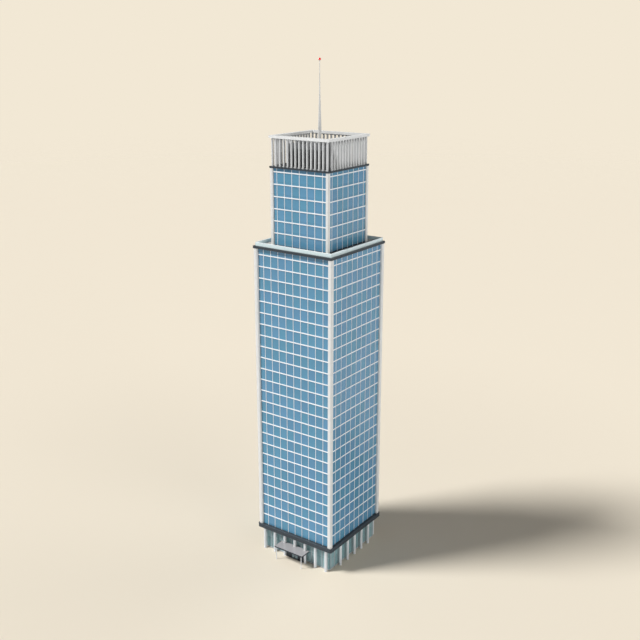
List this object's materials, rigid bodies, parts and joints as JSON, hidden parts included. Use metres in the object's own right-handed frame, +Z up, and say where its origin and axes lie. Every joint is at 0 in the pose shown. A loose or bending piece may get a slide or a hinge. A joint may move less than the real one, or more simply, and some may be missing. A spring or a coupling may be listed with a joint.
{
  "type": "office tower, 1:10 scale model",
  "caption": "Square glass office tower on a colonnaded lobby with an entrance canopy, a set-back upper shaft behind a terrace, a louvred crown and a mast.",
  "frame": {"origin": "centre of the square plan, on the underside of the ground floor, level with the paving outside", "axes": "+Z up along the tower's centre line, the entrance front faces -Y, +X to the right as seen from the front"},
  "size_m": [3.22, 3.534, 17.19],
  "materials": {
    "concrete": "fair-faced concrete",
    "lobby_glass": "grey-green glass",
    "pale_columns": "satin off-white paint",
    "dark_frame": "satin dark grey paint",
    "portal_screen": "dark grey panel",
    "door_leaf": "clear glass in dark rails",
    "canopy_metal": "satin light grey metal",
    "slate_cladding": "matt slate-grey panels",
    "tower_glass": "blue solar-control glass",
    "pale_cladding": "satin off-white panels",
    "parapet_panel": "satin pale mint panels",
    "grey_louvre": "light grey anodised",
    "plant_housing": "matt dark grey sheet",
    "mast_metal": "light grey paint",
    "beacon_red": "red lens"
  },
  "bodies": {
    "root": {"ground_floor": "concrete", "main_floors": "concrete", "upper_floors": "concrete", "lobby_wall_front_left": "lobby_glass", "lobby_wall_front_right": "lobby_glass", "lobby_wall_over_portal": "lobby_glass", "lobby_wall_back": "lobby_glass", "lobby_wall_right": "lobby_glass", "lobby_wall_left": "lobby_glass", "lobby_columns_front": "pale_columns", "lobby_columns_right": "pale_columns", "lobby_columns_back": "pale_columns", "lobby_columns_left": "pale_columns", "entrance_portal": "dark_frame", "door_frame": "dark_frame", "portal_screen_left": "portal_screen", "portal_screen_right": "portal_screen", "entrance_canopy": "canopy_metal", "canopy_post_left": "pale_columns", "canopy_post_right": "pale_columns", "base_band": "slate_cladding", "terrace_slab": "slate_cladding", "crown_slab": "slate_cladding", "main_glass_wall_front": "tower_glass", "main_glass_wall_right": "tower_glass", "main_glass_wall_back": "tower_glass", "main_glass_wall_left": "tower_glass", "upper_glass_wall_front": "tower_glass", "upper_glass_wall_right": "tower_glass", "upper_glass_wall_back": "tower_glass", "upper_glass_wall_left": "tower_glass", "main_corner_post_front_right": "pale_cladding", "main_corner_post_back_right": "pale_cladding", "main_corner_post_back_left": "pale_cladding", "main_corner_post_front_left": "pale_cladding", "upper_corner_post_front_right": "pale_cladding", "upper_corner_post_back_right": "pale_cladding", "upper_corner_post_back_left": "pale_cladding", "upper_corner_post_front_left": "pale_cladding", "terrace_parapet_front": "parapet_panel", "terrace_parapet_right": "parapet_panel", "terrace_parapet_back": "parapet_panel", "terrace_parapet_left": "parapet_panel", "crown_screen_front": "grey_louvre", "crown_screen_right": "grey_louvre", "crown_screen_back": "grey_louvre", "crown_screen_left": "grey_louvre", "crown_rail": "grey_louvre", "roof_plant_room": "plant_housing", "mast_base": "mast_metal", "mast": "mast_metal", "mast_beacon": "beacon_red"},
    "door_left": {"door_leaf_left": "door_leaf"},
    "door_right": {"door_leaf_right": "door_leaf"}
  },
  "joints": [
    {"name": "door_left_hinge", "type": "hinge", "parent": "root", "child": "door_left", "pos_m": [-0.124, -1.53, 0.146], "axis": [0, 0, -1], "range_deg": [0, 90]},
    {"name": "door_right_hinge", "type": "hinge", "parent": "root", "child": "door_right", "pos_m": [0.124, -1.53, 0.146], "axis": [0, 0, 1], "range_deg": [0, 90]}
  ]
}
